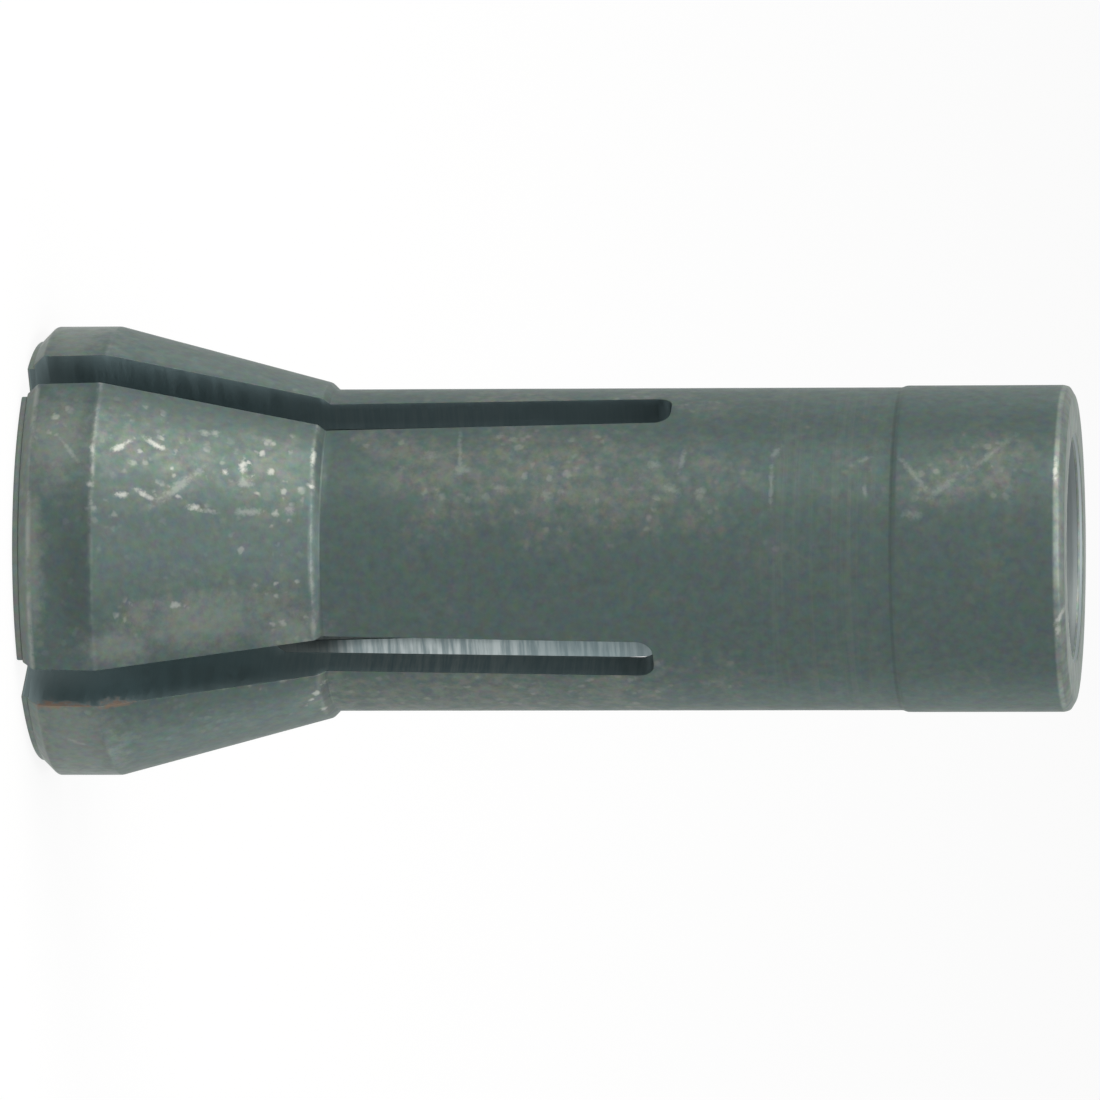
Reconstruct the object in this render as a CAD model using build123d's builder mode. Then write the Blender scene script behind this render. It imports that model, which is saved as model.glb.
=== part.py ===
from build123d import *
import os
from math import radians, tan

# Collet cone: one slotted steel sleeve that grips a straight tool shank
# All sizes are in millimetres and degrees. The nose face lies on z = 0, and
# +Z runs back along the axis of the bore to the rear end.

# Head
head_radius = 6.29
nose_length = 0.17
nose_step = 0.08
front_chamfer = 0.33
band_length = 1.74
taper_half_angle = 15.0
back_step = 0.2

# Shank and rear land
overall_length = 29.0
shank_radius = 4.5
land_rise = 0.05
land_length = 4.67
land_ramp_length = 0.12
rear_chamfer = 0.29

# Bore: a short grip at the nose, a wider relief, and a guide at the rear end
grip_radius = 3.0
grip_length = 6.5
shank_wall = 0.85
guide_radius = 3.1
guide_length = 9.0
nose_mouth_chamfer = 0.15
guide_mouth_chamfer = 0.12

# Slots: each saw cut runs right across the sleeve. It misses the axis by a small
# shift at the nose, and leans a little as it runs back. The first is also turned
# a little about the axis.
slot_corner_radius = 0.45
slot_a_width = 1.32
slot_a_length = 17.95
slot_a_shift = -0.19
slot_a_lean = 1.83
slot_a_turn = -1.4
slot_b_width = 1.26
slot_b_length = 17.53
slot_b_shift = 0.09
slot_b_lean = 1.45
saw_overrun = 2.0
section_angle = -40.0

# Worn edges
edge_round = 0.06
rear_round = 0.14
root_round = 0.12

# Radii and heights that follow from the sizes above
chamfer_radius = head_radius - front_chamfer
nose_radius = chamfer_radius - nose_step
back_radius = shank_radius + back_step
land_radius = shank_radius + land_rise
rear_face_radius = land_radius - rear_chamfer
relief_radius = shank_radius - shank_wall

band_start = nose_length + front_chamfer
taper_start = band_start + band_length
taper_end = taper_start + (head_radius - back_radius) / tan(radians(taper_half_angle))
shank_start = taper_end + back_step
land_start = overall_length - land_length
relief_start = grip_length + abs(relief_radius - grip_radius)
guide_start = overall_length - guide_length
relief_end = guide_start - abs(relief_radius - guide_radius)

# Corners of the half section: radius, height and the rounding of that corner
outside_corners = [
    (nose_radius, 0, 0),
    (nose_radius, nose_length, 0),
    (chamfer_radius, nose_length, 0),
    (head_radius, band_start, edge_round),
    (head_radius, taper_start, edge_round),
    (back_radius, taper_end, edge_round),
    (shank_radius, shank_start, root_round),
    (shank_radius, land_start - land_ramp_length, 0),
    (land_radius, land_start, 0),
    (land_radius, overall_length - rear_chamfer, rear_round),
    (rear_face_radius, overall_length, rear_round),
]
bore_corners = [
    (guide_radius + guide_mouth_chamfer, overall_length, 0),
    (guide_radius, overall_length - guide_mouth_chamfer, 0),
    (guide_radius, guide_start, 0),
    (relief_radius, relief_end, 0),
    (relief_radius, relief_start, 0),
    (grip_radius, grip_length, 0),
    (grip_radius, nose_mouth_chamfer, 0),
    (grip_radius + nose_mouth_chamfer, 0, 0),
]
section_corners = outside_corners + bore_corners

# Saw cuts: the leaning plane of each slot's end view, its shift, width and length
saw_cuts = [
    (Plane.YZ.rotated((-slot_a_lean, 0, slot_a_turn)), slot_a_shift, slot_a_width, slot_a_length),
    (Plane.XZ.rotated((0, slot_b_lean, 0)), slot_b_shift, slot_b_width, slot_b_length),
]

with BuildPart() as collet_cone:
    # The half section is drawn across the middle of a finger, clear of the slots
    with BuildSketch(Plane.XZ.rotated((0, 0, section_angle))) as half_section:
        with BuildLine():
            FilletPolyline(
                *[(radius, height) for radius, height, _ in section_corners],
                radius=[rounding for _, _, rounding in section_corners],
                close=True,
            )
        make_face()
    revolve(axis=Axis.Z)

    # The saw enters at the nose and leaves two round corners at the end of each slot
    for end_view, slot_shift, slot_width, slot_length in saw_cuts:
        with BuildSketch(end_view) as slot_end_view:
            with Locations((slot_shift, slot_length)):
                Rectangle(
                    slot_width,
                    slot_length + saw_overrun,
                    align=(Align.CENTER, Align.MAX),
                )
            slot_end = slot_end_view.vertices().group_by(Axis.Y)[-1]
            fillet(slot_end, min(slot_corner_radius, 0.45 * slot_width))
        extrude(amount=head_radius + saw_overrun, both=True, mode=Mode.SUBTRACT)

collet_cone.part.label = "collet_cone"
os.makedirs("parts", exist_ok=True)
export_step(collet_cone.part, "parts/collet_cone.step")
print("volume", round(collet_cone.part.volume, 3), "mm3")
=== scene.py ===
"""Collet cone: a slotted steel sleeve in its blackened finish, on a plain pale floor."""

from collections import namedtuple
from math import acos, asin, ceil, cos, hypot, pi, radians, sin, tan

import bmesh
import bpy
from bpy.props import FloatProperty, FloatVectorProperty, PointerProperty
from mathutils import Matrix, Vector, noise


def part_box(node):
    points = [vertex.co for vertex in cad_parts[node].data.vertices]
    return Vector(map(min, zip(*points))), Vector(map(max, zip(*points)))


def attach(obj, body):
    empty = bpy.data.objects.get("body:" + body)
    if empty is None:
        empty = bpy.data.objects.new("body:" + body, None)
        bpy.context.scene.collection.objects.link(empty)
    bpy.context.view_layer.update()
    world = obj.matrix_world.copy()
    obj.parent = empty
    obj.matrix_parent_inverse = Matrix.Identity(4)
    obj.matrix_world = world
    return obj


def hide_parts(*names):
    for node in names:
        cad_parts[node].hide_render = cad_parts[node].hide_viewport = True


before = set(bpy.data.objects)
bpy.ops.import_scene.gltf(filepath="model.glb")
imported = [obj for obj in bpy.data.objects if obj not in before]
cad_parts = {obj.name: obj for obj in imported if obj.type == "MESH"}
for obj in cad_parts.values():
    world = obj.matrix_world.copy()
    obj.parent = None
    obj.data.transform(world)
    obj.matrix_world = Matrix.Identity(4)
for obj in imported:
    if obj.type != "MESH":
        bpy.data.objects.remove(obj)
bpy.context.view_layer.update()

bl_info = {
    "name": "Collet Cone",
    "version": (1, 0, 0),
    "blender": (4, 5, 0),
    "location": "View3D > Sidebar > Collet",
    "description": "Builds a slotted collet cone in blackened steel, with its stage",
    "category": "Object",
}

MM = 0.001
CAD_NODE = "collet_cone"
_, CAD_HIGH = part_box(CAD_NODE)


def length(name, description, millimetres):
    return FloatProperty(
        name=name, description=description, default=millimetres * MM, min=0.0, unit="LENGTH", precision=5
    )


def shift(name, description, millimetres):
    return FloatProperty(
        name=name, description=description, default=millimetres * MM, unit="LENGTH", precision=5
    )


def angle(name, description, degrees):
    return FloatProperty(name=name, description=description, default=radians(degrees), unit="ROTATION")


def colour(name, description, red, green, blue):
    return FloatVectorProperty(
        name=name, description=description, default=(red, green, blue), min=0.0, max=1.0, size=3,
        subtype="COLOR",
    )


class SleeveSizes(bpy.types.PropertyGroup):
    """The turned form of the sleeve, from the nose face to the rear end."""

    overall_length: length("Overall length", "Nose face to rear end", CAD_HIGH.z / MM)
    head_radius: length("Head radius", "Radius of the cylindrical band", 6.29)
    nose_radius: length("Nose radius", "Radius of the low round boss", 5.88)
    nose_length: length("Nose length", "Height of the low round boss", 0.17)
    front_chamfer: length("Front chamfer", "Width and height of the front chamfer", 0.33)
    band_length: length("Band length", "Length of the cylindrical band", 1.74)
    taper_half_angle: angle("Taper half angle", "Slope of the seat that the nut presses on", 15.0)
    back_step: length("Back step", "Edge between the taper and the shank", 0.2)
    shank_radius: length("Shank radius", "Radius of the shank", 4.5)
    land_rise: length("Land rise", "How far the rear land stands above the shank", 0.05)
    land_length: length("Land length", "Length of the rear land", 4.67)
    land_ramp: length("Land ramp", "Length of the ramp up to the land", 0.12)
    rear_chamfer: length("Rear chamfer", "Width of the rounded rear chamfer", 0.29)
    grip_radius: length("Grip radius", "Bore at the nose that grips the tool", 3.0)
    grip_length: length("Grip length", "Length of the grip bore", 6.5)
    relief_radius: length("Relief radius", "Wider bore behind the grip", 3.65)
    guide_radius: length("Guide radius", "Bore at the rear end", 3.1)
    guide_length: length("Guide length", "Length of the guide bore", 9.0)
    nose_mouth: length("Nose mouth", "Chamfer of the bore at the nose", 0.15)
    rear_mouth: length("Rear mouth", "Chamfer of the bore at the rear end", 0.12)
    slot_corner: length("Slot corner", "Radius in the corners of each slot's end", 0.45)
    slot_a_width: length("First slot width", "Width of the cut along X", 1.32)
    slot_a_length: length("First slot length", "Depth of the cut along X", 17.94)
    slot_a_shift: shift("First slot shift", "How far the cut along X misses the axis", -0.19)
    slot_a_lean: angle("First slot lean", "Lean of the cut along X", 1.83)
    slot_a_turn: angle("First slot turn", "Turn of the cut along X about the axis", -1.4)
    slot_b_width: length("Second slot width", "Width of the cut along Y", 1.26)
    slot_b_length: length("Second slot length", "Depth of the cut along Y", 17.53)
    slot_b_shift: shift("Second slot shift", "How far the cut along Y misses the axis", 0.09)
    slot_b_lean: angle("Second slot lean", "Lean of the cut along Y", 1.45)
    worn_edge: length("Worn edge", "Largest rounding of the worn edges", 0.06)
    waviness: length("Waviness", "Depth of the handling marks in the skin", 0.004)
    knock_depth: length("Knock depth", "Depth of the knocks in the skin", 0.02)


class SleeveFinish(bpy.types.PropertyGroup):
    """Colours of the blackened steel, and of the light and shade painted on it."""

    skin: colour("Blackened skin", "Grey-green of the blackened outside", 0.079, 0.112, 0.107)
    # Also the colour of the painted sheen in the rubbed places, of the painted light on the taper and of the
    # lathe's lines
    rubbed: colour("Rubbed skin and sheen", "Where handling has rubbed the skin", 0.200, 0.200, 0.172)
    # Also the colour of the painted light on the front chamfer and in the worn places on the band and the
    # taper
    worn: colour("Worn and lit skin", "Where the skin has worn thin", 0.170, 0.200, 0.182)
    bare: colour("Bare steel", "Steel that shows at knocks and worn edges", 0.44, 0.45, 0.42)
    sawn: colour("Sawn wall", "Walls of the slots", 0.182, 0.248, 0.262)
    # Painted light: the slot walls within the head are lighter, to lift their shade
    sawn_head_lit: colour("Lit sawn wall of the head", "Walls of the slots within the head", 0.39, 0.51, 0.53)
    # Painted light: the saw's lines on the far wall, as if lit
    sawn_lit_lines: colour("Lit saw lines", "Lines that the saw left", 0.52, 0.58, 0.58)
    bored: colour("Bored wall", "Wall of the bore", 0.29, 0.325, 0.33)
    bored_dark: colour("Bore lines", "Darker rings in the bore", 0.225, 0.26, 0.265)
    # Painted shade, laid in corners, on a patch of the band and on parts of the slot walls
    painted_shade: colour("Painted shade", "Dirt in the corner at the land's start", 0.045, 0.058, 0.056)
    rust: colour("Rust", "Rust along one slot edge", 0.21, 0.11, 0.065)


class StageSettings(bpy.types.PropertyGroup):
    """Where the camera looks from, and how the lamps light the sleeve."""

    azimuth: angle("Azimuth", "Direction that the camera looks from", -36.3)
    elevation: angle("Elevation", "Height that the camera looks from", 6.4)
    roll: angle("Roll", "Small tilt of the sleeve in the picture", 0.14)
    aim_height: length("Aim height", "Height on the axis that the camera looks at", 14.3)
    aim_drop: length("Aim drop", "How far below the axis the camera looks", 0.011)
    distance: length("Distance", "Camera to axis", 364.0)
    lens: FloatProperty(name="Lens", description="Focal length", default=426.3, unit="CAMERA")
    floor_size: length("Floor size", "Width of the floor", 4000.0)
    floor: colour("Floor", "Pale floor", 0.95, 0.95, 0.95)
    sky: FloatProperty(name="Sky", description="Light of the surroundings on dull surfaces", default=0.55)
    overhead: FloatProperty(name="Overhead lamp", description="Brightness, where 1 is white", default=1.3)
    side: FloatProperty(name="Side lamp", description="Brightness, where 1 is white", default=2.6)
    front: FloatProperty(name="Front lamp", description="Brightness, where 1 is white", default=1.85)
    rim: FloatProperty(name="Rim lamps", description="Brightness, where 1 is white", default=0.9)
    lamp_colour: colour("Lamp colour", "The side lamp is a little warm", 1.0, 0.945, 0.87)


class Slot:
    """One saw cut: where its middle plane runs, and how its end closes."""

    def __init__(self, depth, offset, lean, turn, width, corner):
        self.depth = depth
        self.offset = offset
        self.slope = tan(lean)
        self.turn = turn
        self.half_width = width / 2
        self.corner = corner

    def middle(self, height):
        return self.offset + height * self.slope

    def half_width_at(self, height):
        into_corner = min(max(height - (self.depth - self.corner), 0.0), self.corner)
        return self.half_width - self.corner + (self.corner**2 - into_corner**2) ** 0.5


# A mark on the skin in millimetres and degrees: the height and the turn round the axis of its
# middle, its length and width, and its slant from the axis
Mark = namedtuple("Mark", "height turn length width slant")

KNOCKS = [
    Mark(2.97, 205.4, 0.50, 0.15, -40),
    Mark(3.93, 203.6, 0.50, 0.15, 30),
    Mark(3.07, 218.8, 0.28, 0.14, -6),
    Mark(3.67, 218.4, 0.44, 0.14, 28),
    Mark(5.05, 221.4, 0.42, 0.14, 12),
    Mark(6.28, 206.9, 0.34, 0.16, 84),
    Mark(5.81, 209.7, 0.16, 0.14, 0),
    Mark(2.22, 206.8, 0.34, 0.12, 90),
    Mark(2.22, 216.5, 0.18, 0.13, 0),
    Mark(8.15, 200.5, 0.40, 0.12, 90),
    Mark(8.15, 211.5, 0.18, 0.14, 0),
    Mark(28.74, 205.7, 0.55, 0.10, 90),
    Mark(28.86, 258.5, 0.42, 0.12, -55),
    Mark(28.79, 264.0, 0.36, 0.10, 90),
    Mark(5.66, 278.4, 0.14, 0.10, 0),
]

SCUFFS = [
    Mark(5.19, 197.4, 0.20, 0.14, 0),
    Mark(5.48, 196.8, 0.18, 0.16, 0),
    Mark(6.89, 196.7, 0.18, 0.18, 0),
    Mark(3.33, 209.9, 0.18, 0.14, 0),
    Mark(7.60, 220.3, 0.22, 0.20, 0),
    Mark(6.50, 221.8, 0.60, 0.16, 0),
    Mark(5.40, 222.0, 0.40, 0.12, 8),
    Mark(2.30, 222.9, 0.26, 0.16, 0),
    Mark(4.58, 215.4, 1.30, 0.20, -42),
    Mark(6.36, 212.4, 0.34, 0.26, 0),
    Mark(1.58, 207.5, 0.70, 0.10, 54),
    Mark(1.39, 291.2, 0.46, 0.12, 36),
    Mark(18.40, 200.6, 0.62, 0.12, -80),
    Mark(15.13, 213.0, 0.20, 0.16, 0),
    Mark(18.16, 212.3, 0.36, 0.24, 30),
    Mark(18.95, 213.0, 0.24, 0.20, 0),
    Mark(17.61, 202.7, 0.28, 0.22, 0),
    Mark(20.90, 211.0, 1.20, 0.10, 90),
    Mark(20.97, 197.5, 0.40, 0.16, -57),
    Mark(23.50, 213.1, 0.28, 0.12, 80),
    Mark(23.46, 200.4, 0.30, 0.12, -20),
    Mark(12.20, 197.0, 1.10, 0.10, 86),
    Mark(11.37, 198.1, 0.34, 0.26, 0),
    Mark(12.23, 204.4, 0.28, 0.24, 0),
    Mark(13.38, 211.5, 0.40, 0.20, 20),
    Mark(14.64, 214.1, 0.34, 0.26, 0),
    Mark(24.90, 208.0, 1.40, 0.14, 52),
    Mark(25.65, 211.5, 0.86, 0.18, -41),
    Mark(24.82, 221.6, 0.42, 0.24, 0),
    Mark(26.97, 198.3, 1.29, 0.16, -46),
]

# Rubbed places, partly painted sheen where the light falls and along the sleeve's sides
RUBBED_AND_SHEEN_PLACES = [
    Mark(4.6, 207.0, 4.6, 2.6, 8),
    Mark(6.9, 207.0, 2.6, 2.6, 0),
    Mark(3.2, 206.0, 2.0, 1.8, 0),
    Mark(7.2, 250.0, 1.8, 1.4, 0),
    Mark(3.8, 252.0, 2.6, 1.0, 0),
    Mark(4.4, 218.0, 4.0, 1.0, 0),
    Mark(14.2, 206.0, 11.5, 3.4, 4),
    Mark(25.4, 207.5, 2.8, 1.8, -35),
    Mark(27.3, 201.0, 1.6, 1.8, 0),
    Mark(1.0, 205.0, 1.6, 2.4, 0),
    Mark(12.5, 298.0, 13.0, 5.0, 0),
    Mark(13.0, 170.0, 9.0, 2.0, 0),
]

# Worn places, partly painted light where the band and the taper catch it
WORN_AND_LIT_PLACES = [
    Mark(1.2, 204.0, 2.6, 4.0, 0),
    Mark(1.2, 163.0, 2.4, 4.6, 0),
    Mark(1.2, 292.0, 3.4, 11.0, 0),
    Mark(5.2, 254.5, 7.6, 2.0, 0),
    Mark(7.5, 261.0, 2.4, 1.5, 0),
    Mark(2.9, 259.5, 2.4, 1.5, 0),
    Mark(0.6, 236.0, 0.8, 7.0, 0),
]

# Places of painted shade on the band
BAND_SHADE_PLACES = [
    Mark(1.90, 244.0, 1.2, 4.0, 0),
]

RUSTY_PLACES = [
    Mark(0.80, 276.8, 0.60, 0.22, 0),
    Mark(1.70, 276.9, 1.40, 0.05, 0),
    Mark(2.75, 277.3, 0.80, 0.16, 0),
]


class Edges:
    """Heights and radii of the sleeve's edges, which follow from its sizes."""

    def __init__(self, s):
        self.fall = tan(s.taper_half_angle)
        self.chamfer_radius = s.head_radius - s.front_chamfer
        self.back_radius = s.shank_radius + s.back_step
        self.land_radius = s.shank_radius + s.land_rise
        self.band_start = s.nose_length + s.front_chamfer
        self.taper_start = self.band_start + s.band_length
        self.taper_end = self.taper_start + (s.head_radius - self.back_radius) / self.fall
        self.shank_start = self.taper_end + s.back_step
        self.land_start = s.overall_length - s.land_length
        self.ramp_start = self.land_start - s.land_ramp
        self.rear_corner = s.overall_length - s.rear_chamfer
        self.relief_start = s.grip_length + abs(s.relief_radius - s.grip_radius)
        self.guide_start = s.overall_length - s.guide_length
        self.relief_end = self.guide_start - abs(s.relief_radius - s.guide_radius)
        self.head_radius = s.head_radius
        self.shank_radius = s.shank_radius

    def radius_at(self, height):
        """Outside radius at a height, for the marks on the skin."""
        if height < self.taper_start:
            return self.head_radius
        if height < self.taper_end:
            return self.head_radius - (height - self.taper_start) * self.fall
        return self.shank_radius if height < self.land_start else self.land_radius


def mark_frame(mark, edges):
    """The middle of a mark on the skin, and the turn from its length, its width and straight out."""
    height = mark.height * MM
    turn = radians(mark.turn)
    slant = radians(mark.slant)
    out = Vector((cos(turn), sin(turn), 0))
    round_axis = Vector((-sin(turn), cos(turn), 0))
    along = Vector((0, 0, cos(slant))) + round_axis * sin(slant)
    across = out.cross(along)
    middle = out * edges.radius_at(height) + Vector((0, 0, height))
    return middle, Matrix((along, across, out)).transposed()


# How finely the mesh is divided
CORNER_STEPS = 8
CLOSEST_ROWS = 0.004 * MM
FINGER_COLUMNS = 42
SLOT_COLUMNS = 4
WALL_STEPS = 3
HEAD_PITCH = 0.14 * MM
SHANK_PITCH = 0.26 * MM

# Shares of the worn edge that the slots' edges and the rings get, from what turn an edge is sharp,
# and how long the patches of wear and the waves in the skin are
SLOT_EDGE_WEAR = 0.3
RING_EDGE_WEAR = 0.7
SHARP_TURN = radians(13)
WEAR_PATCH = 0.9 * MM
WAVE_PATCH = 1.1 * MM
DENT_MARGIN = 0.2

# Order of the materials on the sleeve
SKIN_FINISH = 0
SAWN_FINISH = 1
BORED_FINISH = 2


def section_stations(s):
    """Pairs of corners, one outside and one in the bore, each as (radius, height), and the row
    pitch up to each pair."""
    edges = Edges(s)
    rear_bend = 0.5 * s.rear_chamfer

    stations = [
        ((s.nose_radius, 0.0), (s.grip_radius + s.nose_mouth, 0.0), HEAD_PITCH),
        ((s.nose_radius, s.nose_length), (s.grip_radius, s.nose_mouth), HEAD_PITCH),
        ((edges.chamfer_radius, s.nose_length), (s.grip_radius, 1.6 * s.nose_mouth), HEAD_PITCH),
        ((s.head_radius, edges.band_start), (s.grip_radius, edges.band_start), HEAD_PITCH),
        ((s.head_radius, edges.taper_start), (s.grip_radius, edges.taper_start), HEAD_PITCH),
        ((edges.radius_at(s.grip_length), s.grip_length), (s.grip_radius, s.grip_length), HEAD_PITCH),
        (
            (edges.radius_at(edges.relief_start), edges.relief_start),
            (s.relief_radius, edges.relief_start),
            HEAD_PITCH,
        ),
        ((edges.back_radius, edges.taper_end), (s.relief_radius, edges.taper_end), HEAD_PITCH),
        ((s.shank_radius, edges.shank_start), (s.relief_radius, edges.shank_start), HEAD_PITCH),
    ]
    for height in slot_end_heights(s):
        stations.append(((s.shank_radius, height), (s.relief_radius, height), SHANK_PITCH))
    stations += [
        ((s.shank_radius, edges.relief_end), (s.relief_radius, edges.relief_end), SHANK_PITCH),
        ((s.shank_radius, edges.guide_start), (s.guide_radius, edges.guide_start), SHANK_PITCH),
        ((s.shank_radius, edges.ramp_start), (s.guide_radius, edges.ramp_start), SHANK_PITCH),
        ((edges.land_radius, edges.land_start), (s.guide_radius, edges.land_start), SHANK_PITCH),
        ((edges.land_radius, edges.rear_corner), (s.guide_radius, edges.rear_corner - 0.1 * MM), SHANK_PITCH),
        (
            (edges.land_radius - 0.3 * rear_bend, edges.rear_corner + rear_bend),
            (s.guide_radius, s.overall_length - s.rear_mouth),
            SHANK_PITCH,
        ),
        (
            (edges.land_radius - s.rear_chamfer, s.overall_length),
            (s.guide_radius + s.rear_mouth, s.overall_length),
            SHANK_PITCH,
        ),
    ]
    return stations


def slot_end_heights(s):
    """Heights of the rows that the round corners of both slots' ends need, in order."""
    depths = (s.slot_a_length, s.slot_b_length)
    heights = sorted(
        depth - s.slot_corner * (1 - sin(0.5 * pi * step / CORNER_STEPS))
        for depth in depths
        for step in range(CORNER_STEPS + 1)
    )
    kept = []
    for height in heights:
        if height in depths or not kept or height - kept[-1] > CLOSEST_ROWS:
            kept.append(height)
    return kept


def section_rows(stations):
    """The stations with rows between them, each as (outside radius, height, bore radius, height)."""
    rows = []
    for (start_out, start_in, _), (end_out, end_in, pitch) in zip(stations, stations[1:]):
        reach = hypot(end_out[0] - start_out[0], end_out[1] - start_out[1])
        steps = max(1, ceil(reach / pitch))
        for step in range(steps):
            share = step / steps
            rows.append((*mixed(start_out, end_out, share), *mixed(start_in, end_in, share)))
    rows.append((*stations[-1][0], *stations[-1][1]))
    return rows


def mixed(start, end, share):
    return tuple(a + (b - a) * share for a, b in zip(start, end))


def edge_angles(radius, height, slot_a, slot_b):
    """Angles of the eight slot edges round the sleeve at one radius and height, in order."""
    a_mid = slot_a.middle(height)
    a_half = slot_a.half_width_at(height)
    b_mid = slot_b.middle(height)
    b_half = slot_b.half_width_at(height)
    a_high = asin((a_mid + a_half) / radius)
    a_low = asin((a_mid - a_half) / radius)
    b_high = acos((b_mid + b_half) / radius)
    b_low = acos((b_mid - b_half) / radius)
    turn = slot_a.turn
    return [
        turn + a_high,
        b_high,
        b_low,
        pi + turn - a_high,
        pi + turn - a_low,
        2 * pi - b_low,
        2 * pi - b_high,
        2 * pi + turn + a_low,
    ]


class SleeveMesh:
    """A grid of columns round the sleeve and rows along it, on the outside and in the bore."""

    def __init__(self, sizes):
        self.mesh = bmesh.new()
        self.slots = (
            Slot(
                depth=sizes.slot_a_length,
                offset=sizes.slot_a_shift,
                lean=sizes.slot_a_lean,
                turn=sizes.slot_a_turn,
                width=sizes.slot_a_width,
                corner=sizes.slot_corner,
            ),
            Slot(
                depth=sizes.slot_b_length,
                offset=sizes.slot_b_shift,
                lean=sizes.slot_b_lean,
                turn=0.0,
                width=sizes.slot_b_width,
                corner=sizes.slot_corner,
            ),
        )
        self.waviness = sizes.waviness
        self.knock_depth = sizes.knock_depth
        self.edges = Edges(sizes)
        self.rows = section_rows(section_stations(sizes))
        self.columns = [
            (part, step / steps, part % 2 == 1)
            for part in range(8)
            for steps in [SLOT_COLUMNS if part % 2 else FINGER_COLUMNS]
            for step in range(steps)
        ]
        self.end_rows = [self.nearest_row(slot.depth) for slot in self.slots]
        self.corners = {}

    def nearest_row(self, height):
        return min(range(len(self.rows)), key=lambda row: abs(self.rows[row][1] - height))

    def end_row(self, part):
        """The row where the slot in this part of the ring ends. Fingers are the even parts, slots
        the odd ones."""
        return self.end_rows[0] if part in (3, 7) else self.end_rows[1]

    def place(self, column, row, step):
        """A point of the grid; step 0 is the outside, WALL_STEPS is the bore."""
        out_radius, out_height, in_radius, in_height = self.rows[row]
        outside = self.on_ring(column, out_radius, out_height)
        bore = self.on_ring(column, in_radius, in_height)
        return outside.lerp(bore, step / WALL_STEPS)

    def on_ring(self, column, radius, height):
        part, share, _ = self.columns[column % len(self.columns)]
        edges = edge_angles(radius, height, *self.slots)
        start = edges[part]
        end = edges[part + 1] if part < 7 else edges[0] + 2 * pi
        turn = start + (end - start) * share
        return Vector((radius * cos(turn), radius * sin(turn), height))

    def corner(self, column, row, step):
        key = (column % len(self.columns), row, step)
        if key not in self.corners:
            self.corners[key] = self.mesh.verts.new(self.place(*key))
        return self.corners[key]

    def face(self, keys, finish):
        made = self.mesh.faces.new([self.corner(*key) for key in keys])
        made.material_index = finish
        made.smooth = True

    def build(self):
        last_row = len(self.rows) - 1
        for column, (part, share, in_slot) in enumerate(self.columns):
            first_row = self.end_row(part) if in_slot else 0
            beside = column + 1
            for row in range(first_row, last_row):
                self.face(
                    [(column, row, 0), (beside, row, 0), (beside, row + 1, 0), (column, row + 1, 0)],
                    SKIN_FINISH,
                )
                self.face(
                    [
                        (column, row, WALL_STEPS),
                        (column, row + 1, WALL_STEPS),
                        (beside, row + 1, WALL_STEPS),
                        (beside, row, WALL_STEPS),
                    ],
                    BORED_FINISH,
                )
            for step in range(WALL_STEPS):
                self.face(
                    [
                        (column, first_row, step),
                        (column, first_row, step + 1),
                        (beside, first_row, step + 1),
                        (beside, first_row, step),
                    ],
                    SAWN_FINISH if in_slot else SKIN_FINISH,
                )
                self.face(
                    [
                        (column, last_row, step),
                        (beside, last_row, step),
                        (beside, last_row, step + 1),
                        (column, last_row, step + 1),
                    ],
                    SKIN_FINISH,
                )
                if share == 0:
                    slot_part = part if in_slot else (part - 1) % 8
                    self.slot_wall(column, self.end_row(slot_part), step)
        bmesh.ops.recalc_face_normals(self.mesh, faces=self.mesh.faces)

    def slot_wall(self, column, end_row, step):
        for row in range(end_row):
            self.face(
                [
                    (column, row, step),
                    (column, row + 1, step),
                    (column, row + 1, step + 1),
                    (column, row, step + 1),
                ],
                SAWN_FINISH,
            )

    def wear(self):
        """Gives each sharp edge its own rounding, and lets the skin wave a little inwards."""
        weight = self.mesh.edges.layers.float.new("bevel_weight_edge")
        for edge in self.mesh.edges:
            if edge.calc_face_angle() > SHARP_TURN:
                middle = (edge.verts[0].co + edge.verts[1].co) / 2
                run = edge.verts[1].co - edge.verts[0].co
                lengthwise = abs(run.z) > 0.7 * run.length
                full = SLOT_EDGE_WEAR if lengthwise else RING_EDGE_WEAR
                edge[weight] = full * (1 + 0.4 * noise.noise(middle / WEAR_PATCH))
        skin = [vertex for (_, _, step), vertex in self.corners.items() if step == 0]
        for vertex in skin:
            depth = self.waviness * (0.5 + 0.5 * noise.noise(vertex.co / WAVE_PATCH))
            vertex.co -= Vector((vertex.co.x, vertex.co.y, 0)).normalized() * depth
        for knock in KNOCKS:
            self.dent(skin, knock)

    def dent(self, skin, knock):
        middle, turn = mark_frame(knock, self.edges)
        reach = (knock.length + DENT_MARGIN) * MM
        half_length = 0.6 * knock.length * MM
        half_width = max(0.6 * knock.width * MM, HEAD_PITCH)
        to_mark = turn.transposed()
        for vertex in skin:
            if (vertex.co - middle).length < reach:
                along, across, _ = to_mark @ (vertex.co - middle)
                fill = max(0.0, 1 - (along / half_length) ** 2 - (across / half_width) ** 2)
                vertex.co -= turn.col[2] * (self.knock_depth * fill)


# How deep a mark and the rust reach into the skin, in millimetres, and the metal's tint at a
# grazing angle
MARK_DEPTH = 0.8
RUST_DEPTH = 0.22
GRAZING_TINT = (0.75, 0.78, 0.76, 1.0)


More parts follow.
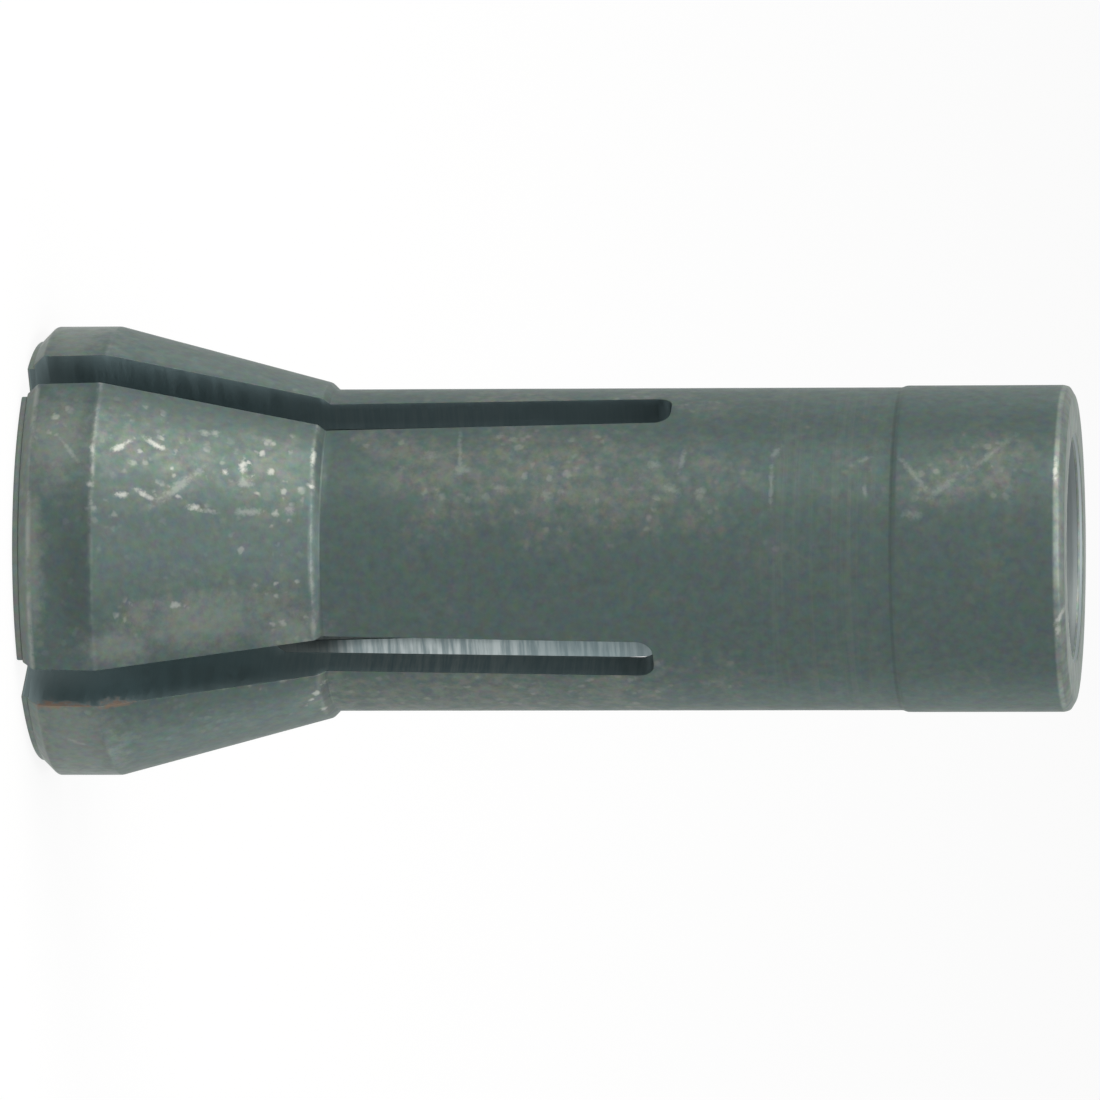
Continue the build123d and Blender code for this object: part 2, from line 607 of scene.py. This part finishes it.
class Wiring:
    """Adds nodes to one material and joins them."""

    def __init__(self, material):
        material.use_nodes = True
        self.tree = material.node_tree
        self.tree.nodes.clear()

    def node(self, kind, inputs, **settings):
        made = self.tree.nodes.new(kind)
        for name, value in settings.items():
            setattr(made, name, value)
        for socket, value in inputs.items():
            if isinstance(value, bpy.types.NodeSocket):
                self.tree.links.new(value, made.inputs[socket])
            else:
                made.inputs[socket].default_value = value
        return made

    def math(self, operation, first, second=0.0, third=0.0):
        return self.node("ShaderNodeMath", {0: first, 1: second, 2: third}, operation=operation).outputs[0]

    def product(self, *factors):
        result = factors[0]
        for factor in factors[1:]:
            result = self.math("MULTIPLY", result, factor)
        return result

    def nearest(self, *distances):
        result = distances[0]
        for distance in distances[1:]:
            result = self.math("MINIMUM", result, distance)
        return result

    def fade(self, value, start, end, low=0.0, high=1.0):
        """low where value is at start, high where it is at end, and smooth between."""
        return self.node(
            "ShaderNodeMapRange",
            {0: value, 1: start, 2: end, 3: low, 4: high},
            interpolation_type="SMOOTHSTEP",
        ).outputs[0]

    def above(self, z, height, blend):
        """1 above a height and 0 below it, blended over a short way on either side."""
        return self.fade(z, height / MM - blend, height / MM + blend)

    def below(self, z, height, blend):
        """1 below a height and 0 above it, blended over a short way on either side."""
        return self.fade(z, height / MM + blend, height / MM - blend)

    def mix(self, factor, first, second, blend="MIX"):
        return self.node(
            "ShaderNodeMix", {0: factor, 6: first, 7: second}, data_type="RGBA", blend_type=blend
        ).outputs[2]

    def warped(self, vector, noise_colour, reach):
        """The vector pushed about by a coloured noise, by up to about half the reach."""
        push = self.node(
            "ShaderNodeVectorMath", {0: noise_colour, 1: (0.5, 0.5, 0.5)}, operation="SUBTRACT"
        ).outputs[0]
        return self.node(
            "ShaderNodeVectorMath",
            {0: push, 1: (reach, reach, reach), 2: vector},
            operation="MULTIPLY_ADD",
        ).outputs[0]

    def stretched(self, vector, x, y, z):
        return self.node(
            "ShaderNodeVectorMath", {0: vector, 1: (x, y, z)}, operation="MULTIPLY"
        ).outputs[0]

    def cloud(self, vector, scale, detail=3.0, roughness=0.55):
        return self.node(
            "ShaderNodeTexNoise",
            {"Vector": vector, "Scale": scale, "Detail": detail, "Roughness": roughness},
        ).outputs

    def marks(self, vector, marks, edges, depth=MARK_DEPTH):
        """Distance from the nearest mark's middle, where 1 is at that mark's edge."""
        distances = []
        for mark in marks:
            middle, turn = mark_frame(mark, edges)
            near = self.node(
                "ShaderNodeMapping",
                {
                    "Vector": vector,
                    "Location": middle / MM,
                    "Rotation": turn.to_euler(),
                    "Scale": (mark.length / 2, mark.width / 2, depth),
                },
                vector_type="TEXTURE",
            ).outputs[0]
            distance = self.node("ShaderNodeVectorMath", {0: near}, operation="LENGTH")
            distances.append(distance.outputs["Value"])
        return self.nearest(*distances)

    def rust(self, vector, edges):
        """Share of rust on the slot edge and just inside it, broken up by a fine noise."""
        fray = self.fade(self.cloud(vector, 5.0, 3.0, 0.6)["Fac"], 0.3, 0.7, 0.6, -0.6)
        reach = self.math("ADD", self.marks(vector, RUSTY_PLACES, edges, RUST_DEPTH), fray)
        return self.fade(reach, 1.9, 0.2, 0.0, 0.8)

    def near_heights(self, z, heights):
        """Distance in millimetres along the axis from the nearest of some heights."""
        gaps = [self.math("SUBTRACT", z, height / MM) for height in heights]
        return self.nearest(*[self.math("ABSOLUTE", gap) for gap in gaps])

    def places(self):
        """Position on the sleeve in millimetres: the vector, and its x, y and z."""
        position = self.node("ShaderNodeTexCoord", {}).outputs["Object"]
        vector = self.node(
            "ShaderNodeVectorMath", {0: position, "Scale": 1 / MM}, operation="SCALE"
        ).outputs[0]
        x, y, z = self.node("ShaderNodeSeparateXYZ", {0: vector}).outputs
        return vector, x, y, z

    def shown_white(self):
        """1 for the rays that show the white background: in the picture, in gloss and through glass."""
        ray = self.node("ShaderNodeLightPath", {}).outputs
        shown = ray["Is Camera Ray"]
        for kind in ("Is Glossy Ray", "Is Transmission Ray"):
            shown = self.math("MAXIMUM", shown, ray[kind])
        return shown

    def steel(self, base, roughness, bump, strength, distance, metallic):
        """The steel's shader, with its bump."""
        normal = self.node(
            "ShaderNodeBump", {"Strength": strength, "Distance": distance, "Height": bump}
        ).outputs[0]
        shader = self.node(
            "ShaderNodeBsdfPrincipled",
            {
                "Base Color": base,
                "Metallic": metallic,
                "Roughness": roughness,
                "Normal": normal,
                "Specular Tint": GRAZING_TINT,
            },
        )
        self.node("ShaderNodeOutputMaterial", {0: shader.outputs[0]})


def opaque(rgb):
    return (*rgb, 1.0)


# The largest share that each layer has in the skin, on the shank and on the head where they differ
# The rubbed places are partly painted sheen
RUB_AND_SHEEN_ON_SHANK = 0.40
RUB_AND_SHEEN_ON_HEAD = 0.28
# The worn places are partly painted light
WORN_AND_LIT_SHARE = 0.8
# Painted light on the taper
TAPER_LIGHT = 0.05
# Painted shade on the band
BAND_SHADE_SHARE = 0.30
# Painted light on the front chamfer
FRONT_CHAMFER_LIGHT = 0.75
GRAIN_SHARE = 0.32
TURNED_SHARE = 0.10
RING_SHARE = 0.36
SCUFF_ON_SHANK = 0.17
SCUFF_ON_HEAD = 0.26
SPARKLE_SHARE = 0.55
SPARKLE_ON_SHANK = 0.28
KNOCK_SHARE = 0.62
# Painted shade in the corners
CORNER_SHADE = 0.28
RUST_SHARE = 0.72


class SkinLayers:
    """The layers of the blackened skin. A method that takes a colour lays its layer over it."""

    def __init__(self, wiring, finish, edges):
        self.wiring = wiring
        self.finish = finish
        self.edges = edges
        self.vector, self.x, self.y, self.z = wiring.places()
        self.patches = wiring.cloud(self.vector, 0.5, 4.0, 0.6)["Fac"]
        self.mottle = wiring.cloud(self.vector, 2.6, 5.0, 0.65)["Fac"]
        self.fray = wiring.cloud(self.vector, 9.0, 2.0, 0.6)["Fac"]
        self.grain = wiring.cloud(self.vector, 4.0, 2.0, 0.6)
        self.on_head = wiring.below(self.z, edges.shank_start, 0.05)
        self.on_taper = wiring.product(self.on_head, wiring.above(self.z, edges.taper_start, 0.04))
        self.rub_and_sheen_place = self.find_rubbed_and_sheen_places()
        self.turned_lines = self.draw_turned_lines()
        self.rust_share = wiring.product(wiring.rust(self.vector, edges), RUST_SHARE)

    def find_rubbed_and_sheen_places(self):
        """1 where handling has rubbed the skin and sheen is painted, and a little in patches all over."""
        wiring = self.wiring
        reach = wiring.marks(self.vector, RUBBED_AND_SHEEN_PLACES, self.edges)
        reach = wiring.math("ADD", reach, wiring.fade(self.patches, 0.3, 0.7, 0.6, -0.6))
        anywhere = wiring.fade(self.patches, 0.5, 0.8, 0.1, 0.6)
        return wiring.math("MAXIMUM", wiring.fade(reach, 1.4, 0.3), anywhere)

    def draw_turned_lines(self):
        """Faint lines of the lathe on the rear part of the shank."""
        wiring = self.wiring
        zone = wiring.product(wiring.fade(self.z, 20.2, 20.9), wiring.fade(self.z, 24.0, 23.4))
        lines = wiring.cloud(wiring.stretched(self.vector, 0.1, 0.1, 5.0), 1.0, 3.0, 0.6)["Fac"]
        return wiring.product(zone, wiring.fade(lines, 0.45, 0.65, 0.0, TURNED_SHARE))

    def on_shank_and_head(self, on_shank, on_head):
        """One value on the shank and another on the head."""
        return self.wiring.fade(self.on_head, 0.0, 1.0, on_shank, on_head)

    def rub_and_sheen(self, skin):
        """The rubbed places, mottled, partly painted sheen."""
        wiring = self.wiring
        rubbed = wiring.product(self.rub_and_sheen_place, wiring.fade(self.mottle, 0.34, 0.64, 0.15, 1.0))
        share = wiring.product(rubbed, self.on_shank_and_head(RUB_AND_SHEEN_ON_SHANK, RUB_AND_SHEEN_ON_HEAD))
        return wiring.mix(share, skin, opaque(self.finish.rubbed))

    def wear_thin_and_light(self, skin):
        """The worn places of the head, partly painted light, and painted light on the whole taper."""
        wiring = self.wiring
        reach = wiring.marks(self.vector, WORN_AND_LIT_PLACES, self.edges)
        reach = wiring.math("ADD", reach, wiring.fade(self.mottle, 0.3, 0.7, 0.2, -0.2))
        skin = wiring.mix(wiring.fade(reach, 1.25, 0.1, 0.0, WORN_AND_LIT_SHARE), skin, opaque(self.finish.worn))
        # Painted light: the whole taper a little lighter, as if lit from above
        return wiring.mix(wiring.product(self.on_taper, TAPER_LIGHT), skin, opaque(self.finish.rubbed))

    def paint_band_shade(self, skin):
        """Painted shade on one place of the band, which ends at the taper."""
        wiring = self.wiring
        reach = wiring.marks(self.vector, BAND_SHADE_PLACES, self.edges)
        off_taper = wiring.fade(self.on_taper, 0.5, 0.0)
        band_shade = wiring.product(wiring.fade(reach, 1.3, 0.4, 0.0, BAND_SHADE_SHARE), off_taper)
        return wiring.mix(band_shade, skin, opaque(self.finish.painted_shade))

    def light_front_wear_rear(self, skin):
        """The front chamfer gets painted light all round, and the rear edge is worn all round."""
        wiring = self.wiring
        # Painted light on the front chamfer
        front = wiring.product(wiring.below(self.z, self.edges.band_start, 0.03), FRONT_CHAMFER_LIGHT)
        skin = wiring.mix(front, skin, opaque(self.finish.worn))
        rear_corner = self.edges.rear_corner / MM
        rear = wiring.fade(self.z, rear_corner - 0.05, rear_corner + 0.04)
        rear = wiring.product(rear, wiring.fade(self.mottle, 0.35, 0.6, 0.6, 1.0))
        return wiring.mix(rear, skin, opaque(self.finish.worn))

    def add_grain(self, skin):
        """Fine grain with a little colour of its own."""
        return self.wiring.mix(GRAIN_SHARE, skin, self.grain["Color"], "OVERLAY")

    def turn(self, skin):
        return self.wiring.mix(self.turned_lines, skin, opaque(self.finish.rubbed))

    def ring_wear_and_highlight(self):
        """Bright worn edges of the band and the taper, broken up, partly painted highlight that is fainter
        low on the near finger.
        """
        wiring = self.wiring
        edges = self.edges
        distance = wiring.near_heights(self.z, [edges.band_start, edges.taper_start, edges.taper_end])
        breakup = wiring.cloud(self.vector, 1.4, 5.0, 0.7)["Fac"]
        faint_stretch = wiring.product(
            wiring.fade(self.x, -5.0, -3.8), wiring.fade(self.z, 1.2, 1.8), wiring.fade(self.z, 3.0, 2.6)
        )
        return wiring.product(
            wiring.fade(distance, 0.12, 0.0),
            wiring.fade(faint_stretch, 0.0, 1.0, 1.0, 0.3),
            wiring.fade(self.z, 7.5, 8.0, 1.0, 0.75),
            wiring.fade(breakup, 0.40, 0.62, 0.04, RING_SHARE),
            wiring.fade(wiring.product(self.x, self.y), -3.0, 3.0, 0.35, 1.0),
        )

    def sparkle(self):
        """Small specks of bare steel, painted as glints in the rubbed places, brighter where they are larger.
        """
        wiring = self.wiring
        flecks = wiring.node(
            "ShaderNodeTexVoronoi",
            {"Vector": wiring.warped(self.vector, self.grain["Color"], 0.24), "Scale": 3.0},
        ).outputs
        size = wiring.node("ShaderNodeSeparateColor", {0: flecks["Color"]}).outputs[0]
        reach = wiring.math("SUBTRACT", flecks["Distance"], wiring.product(size, 0.3))
        return wiring.product(
            wiring.fade(reach, 0.16, -0.10),
            self.rub_and_sheen_place,
            wiring.fade(size, 0.0, 1.0, 0.12, SPARKLE_SHARE),
            self.on_shank_and_head(SPARKLE_ON_SHANK, 1.0),
        )

    def ragged_marks(self, marks):
        """Distance from the marks' middles, with ragged edges."""
        wiring = self.wiring
        ragged = wiring.fade(wiring.math("ADD", self.grain["Fac"], self.fray), 0.7, 1.3, -0.5, 0.6)
        return wiring.math("ADD", wiring.marks(self.vector, marks, self.edges), ragged)

    def bare_steel(self, skin):
        """The knocks, the worn rings with their painted highlight, the scuffs and the specks with their
        painted glints.
        """
        wiring = self.wiring
        bare = wiring.fade(self.ragged_marks(KNOCKS), 1.8, 0.0, 0.0, KNOCK_SHARE)
        scuff = wiring.product(
            wiring.fade(self.ragged_marks(SCUFFS), 1.9, 0.0),
            self.on_shank_and_head(SCUFF_ON_SHANK, SCUFF_ON_HEAD),
        )
        for wear in (self.ring_wear_and_highlight(), scuff, self.sparkle()):
            bare = wiring.math("MAXIMUM", bare, wear)
        return wiring.mix(bare, skin, opaque(self.finish.bare))

    def shade_corners(self, skin):
        """Painted shade in the corners where the shank starts and where the land starts."""
        distance = self.wiring.near_heights(self.z, [self.edges.shank_start, self.edges.ramp_start])
        painted_shade = self.wiring.fade(distance, 0.07, 0.02, 0.0, CORNER_SHADE)
        return self.wiring.mix(painted_shade, skin, opaque(self.finish.painted_shade))

    def add_rust(self, skin):
        return self.wiring.mix(self.rust_share, skin, opaque(self.finish.rust))

    def roughness(self):
        """The band of the head is a little smoother than the rest."""
        wiring = self.wiring
        on_band = wiring.below(self.z, self.edges.taper_start, 0.03)
        rough = wiring.fade(self.mottle, 0.3, 0.7, 0.45, 0.38)
        return wiring.math("SUBTRACT", rough, wiring.product(on_band, 0.08))

    def metallic(self):
        """Rust isn't metal."""
        return self.wiring.math("SUBTRACT", 0.92, self.wiring.product(self.rust_share, 0.7))

    def bump(self):
        """Height of the grain and of the lathe's lines."""
        wiring = self.wiring
        return wiring.math(
            "ADD", wiring.product(self.grain["Fac"], 0.8), wiring.product(self.turned_lines, 1.5)
        )


def blackened_skin(finish, sizes):
    """The outside: blackened, mottled, rubbed by handling and knocked bright, with painted sheen, light and
    shade.
    """
    material = bpy.data.materials.new("Blackened skin")
    wiring = Wiring(material)
    layers = SkinLayers(wiring, finish, Edges(sizes))
    skin = layers.rub_and_sheen(opaque(finish.skin))
    skin = layers.wear_thin_and_light(skin)
    skin = layers.paint_band_shade(skin)
    skin = layers.light_front_wear_rear(skin)
    skin = layers.add_grain(skin)
    skin = layers.turn(skin)
    skin = layers.bare_steel(skin)
    skin = layers.shade_corners(skin)
    skin = layers.add_rust(skin)
    wiring.steel(skin, layers.roughness(), layers.bump(), 0.3, 0.02 * MM, layers.metallic())
    return material


def sawn_wall(finish, sizes):
    """The slot walls: dull with fine lines across them, with painted light on the far wall's lines and on the
    walls in the head, and painted shade near the far wall's ends and at the nose.
    """
    material = bpy.data.materials.new("Sawn slot wall")
    wiring = Wiring(material)
    vector, x, _, z = wiring.places()
    lines = wiring.cloud(wiring.stretched(vector, 0.5, 0.5, 6.0), 1.0, 3.0, 0.65)["Fac"]
    far_side = wiring.fade(x, 0.5, 2.0, 0.1, 1.0)
    # Painted light on the far wall's lines, strongest towards the nose
    bright = wiring.product(far_side, wiring.fade(z, 12.0, 14.5, 1.0, 0.35))
    lit_streaks = wiring.product(wiring.fade(lines, 0.34, 0.64, 0.25, 1.0), bright)
    # Painted light: the walls in the head are lighter, most on the far side
    lit_in_head = wiring.product(wiring.fade(z, 10.0, 5.0), wiring.fade(x, -3.0, 0.0, 0.45, 1.0))
    wall = wiring.mix(lit_in_head, opaque(finish.sawn), opaque(finish.sawn_head_lit))
    wall = wiring.mix(lit_streaks, wall, opaque(finish.sawn_lit_lines))

    # Painted shade on the far wall near both its ends, and on every wall at the nose
    for painted_shade in (
        wiring.product(far_side, wiring.fade(z, 8.7, 7.5, 0.0, 0.8)),
        wiring.product(far_side, wiring.fade(z, 15.5, 17.4, 0.0, 0.45)),
        wiring.fade(z, 2.6, 0.2, 0.0, 0.5),
    ):
        wall = wiring.mix(painted_shade, wall, opaque(finish.painted_shade))

    rust = wiring.rust(vector, Edges(sizes))
    wall = wiring.mix(rust, wall, opaque(finish.rust))
    metallic = wiring.math("SUBTRACT", 1.0, wiring.product(rust, 0.9))
    wiring.steel(wall, wiring.fade(lines, 0.3, 0.7, 0.5, 0.42), lines, 0.12, 0.01 * MM, metallic)
    return material


def bored_wall(finish):
    """The bore: fine rings from the boring bar."""
    material = bpy.data.materials.new("Bored wall")
    wiring = Wiring(material)
    vector, *_ = wiring.places()
    rings = wiring.cloud(wiring.stretched(vector, 0.15, 0.15, 6.0), 1.0, 3.0, 0.6)["Fac"]
    base = wiring.mix(wiring.fade(rings, 0.4, 0.65), opaque(finish.bored), opaque(finish.bored_dark))
    wiring.steel(base, wiring.fade(rings, 0.3, 0.7, 0.6, 0.52), rings, 0.3, 0.01 * MM, 1.0)
    return material


class COLLET_OT_sleeve(bpy.types.Operator):
    """Turn and slot the sleeve, wear its edges and blacken it"""

    bl_idname = "collet.sleeve"
    bl_label = "Make Sleeve"

    def execute(self, context):
        sizes = context.scene.collet_sizes
        finish = context.scene.collet_finish
        grid = SleeveMesh(sizes)
        grid.build()
        grid.wear()
        data = bpy.data.meshes.new("slotted_sleeve")
        grid.mesh.to_mesh(data)
        grid.mesh.free()
        data.materials.append(blackened_skin(finish, sizes))
        data.materials.append(sawn_wall(finish, sizes))
        data.materials.append(bored_wall(finish))
        sleeve = bpy.data.objects.new("slotted_sleeve", data)
        context.scene.collection.objects.link(sleeve)
        rounding = sleeve.modifiers.new("Worn edges", "BEVEL")
        rounding.limit_method = "WEIGHT"
        rounding.width = sizes.worn_edge
        rounding.segments = 3
        rounding.use_clamp_overlap = False
        rounding.material = SKIN_FINISH
        sleeve.modifiers.new("Flat faces", "WEIGHTED_NORMAL")
        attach(sleeve, "root")
        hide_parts(CAD_NODE)
        return {"FINISHED"}


class COLLET_OT_stage(bpy.types.Operator):
    """Lay the pale floor, hang the soft lamps and set the camera"""

    bl_idname = "collet.stage"
    bl_label = "Set Stage"

    def execute(self, context):
        stage = context.scene.collet_stage
        lay_floor(context, stage)
        light_surroundings(context, stage)
        hang_lamp(context, "Overhead lamp", (-0.06, -0.06, 0.45), 0.4, stage.overhead)
        hang_lamp(context, "Side lamp", (-0.4, 0.03, 0.2), 0.35, stage.side, stage.lamp_colour)
        hang_lamp(context, "Front lamp", (-0.2, -0.27, 0.32), 0.3, stage.front)
        hang_lamp(context, "Right rim lamp", (0.42, -0.01, 0.04), 0.24, stage.rim)
        hang_lamp(context, "Left rim lamp", (-0.13, 0.4, 0.04), 0.24, stage.rim)
        set_camera(context, stage)
        context.scene.view_settings.view_transform = "Standard"
        return {"FINISHED"}


# Share of plain white in the floor that the picture shows; the rest keeps the sleeve's shadow
FLOOR_WHITE = 0.88


def lay_floor(context, stage):
    data = bpy.data.meshes.new("pale_floor")
    grid = bmesh.new()
    bmesh.ops.create_grid(grid, x_segments=1, y_segments=1, size=stage.floor_size / 2)
    grid.to_mesh(data)
    grid.free()
    floor = bpy.data.objects.new("pale_floor", data)
    context.scene.collection.objects.link(floor)
    material = bpy.data.materials.new("Pale floor")
    wiring = Wiring(material)
    dull = wiring.node("ShaderNodeBsdfDiffuse", {"Color": opaque(stage.floor)}).outputs[0]
    white = wiring.node("ShaderNodeEmission", {"Strength": 1.0}).outputs[0]
    mixed_floor = wiring.node(
        "ShaderNodeMixShader",
        {0: wiring.product(wiring.shown_white(), FLOOR_WHITE), 1: dull, 2: white},
    )
    wiring.node("ShaderNodeOutputMaterial", {0: mixed_floor.outputs[0]})
    data.materials.append(material)


def light_surroundings(context, stage):
    world = bpy.data.worlds.new("White surroundings")
    context.scene.world = world
    wiring = Wiring(world)
    strength = wiring.node("ShaderNodeMapRange", {0: wiring.shown_white(), 3: stage.sky, 4: 1.0}).outputs[0]
    background = wiring.node("ShaderNodeBackground", {"Strength": strength})
    background.inputs["Color"].default_value = (1.0, 1.0, 1.0, 1.0)
    wiring.node("ShaderNodeOutputWorld", {0: background.outputs[0]})


def hang_lamp(context, name, place, size, brightness, tint=(1.0, 1.0, 1.0)):
    """A square lamp that faces the sleeve; brightness 1 looks as bright as white."""
    data = bpy.data.lights.new(name, "AREA")
    data.color = tint
    data.size = size
    data.energy = brightness * pi * size**2
    lamp = bpy.data.objects.new(name, data)
    lamp.location = place
    aim = Vector((0, 0, 0.5 * CAD_HIGH.z)) - lamp.location
    lamp.rotation_euler = aim.to_track_quat("-Z", "Y").to_euler()
    lamp.visible_camera = False
    context.scene.collection.objects.link(lamp)


def set_camera(context, stage):
    """The picture's right is the sleeve's +Z, so the camera lies on its side."""
    level = Vector((sin(stage.azimuth), -cos(stage.azimuth), 0))
    back = level * cos(stage.elevation) + Vector((0, 0, sin(stage.elevation)))
    up = Vector((-level.y, level.x, 0)) * -1
    right = up.cross(back)
    data = bpy.data.cameras.new("Photo camera")
    data.lens = stage.lens
    data.sensor_width = 36.0
    data.clip_start = 0.01
    data.clip_end = 10.0
    camera = bpy.data.objects.new("Photo camera", data)
    aim = Vector((0, 0, stage.aim_height)) - up * stage.aim_drop
    turn = Matrix((right, up, back)).transposed() @ Matrix.Rotation(-stage.roll, 3, "Z")
    camera.matrix_world = Matrix.Translation(aim + back * stage.distance) @ turn.to_4x4()
    context.scene.collection.objects.link(camera)
    context.scene.camera = camera


class COLLET_PT_panel(bpy.types.Panel):
    """Lists the sleeve's sizes, its finish and its stage"""

    bl_idname = "COLLET_PT_panel"
    bl_label = "Collet Cone"
    bl_space_type = "VIEW_3D"
    bl_region_type = "UI"
    bl_category = "Collet"

    def draw(self, context):
        layout = self.layout
        for group, operator in (
            (context.scene.collet_sizes, COLLET_OT_sleeve.bl_idname),
            (context.scene.collet_finish, None),
            (context.scene.collet_stage, COLLET_OT_stage.bl_idname),
        ):
            for name in group.__annotations__:
                layout.prop(group, name)
            if operator:
                layout.operator(operator)


CLASSES = (SleeveSizes, SleeveFinish, StageSettings, COLLET_OT_sleeve, COLLET_OT_stage, COLLET_PT_panel)


def register():
    for cls in CLASSES:
        bpy.utils.register_class(cls)
    bpy.types.Scene.collet_sizes = PointerProperty(type=SleeveSizes)
    bpy.types.Scene.collet_finish = PointerProperty(type=SleeveFinish)
    bpy.types.Scene.collet_stage = PointerProperty(type=StageSettings)


def unregister():
    del bpy.types.Scene.collet_stage
    del bpy.types.Scene.collet_finish
    del bpy.types.Scene.collet_sizes
    for cls in reversed(CLASSES):
        bpy.utils.unregister_class(cls)


def main():
    register()
    bpy.ops.collet.stage()
    bpy.ops.collet.sleeve()


if __name__ == "__main__":
    main()
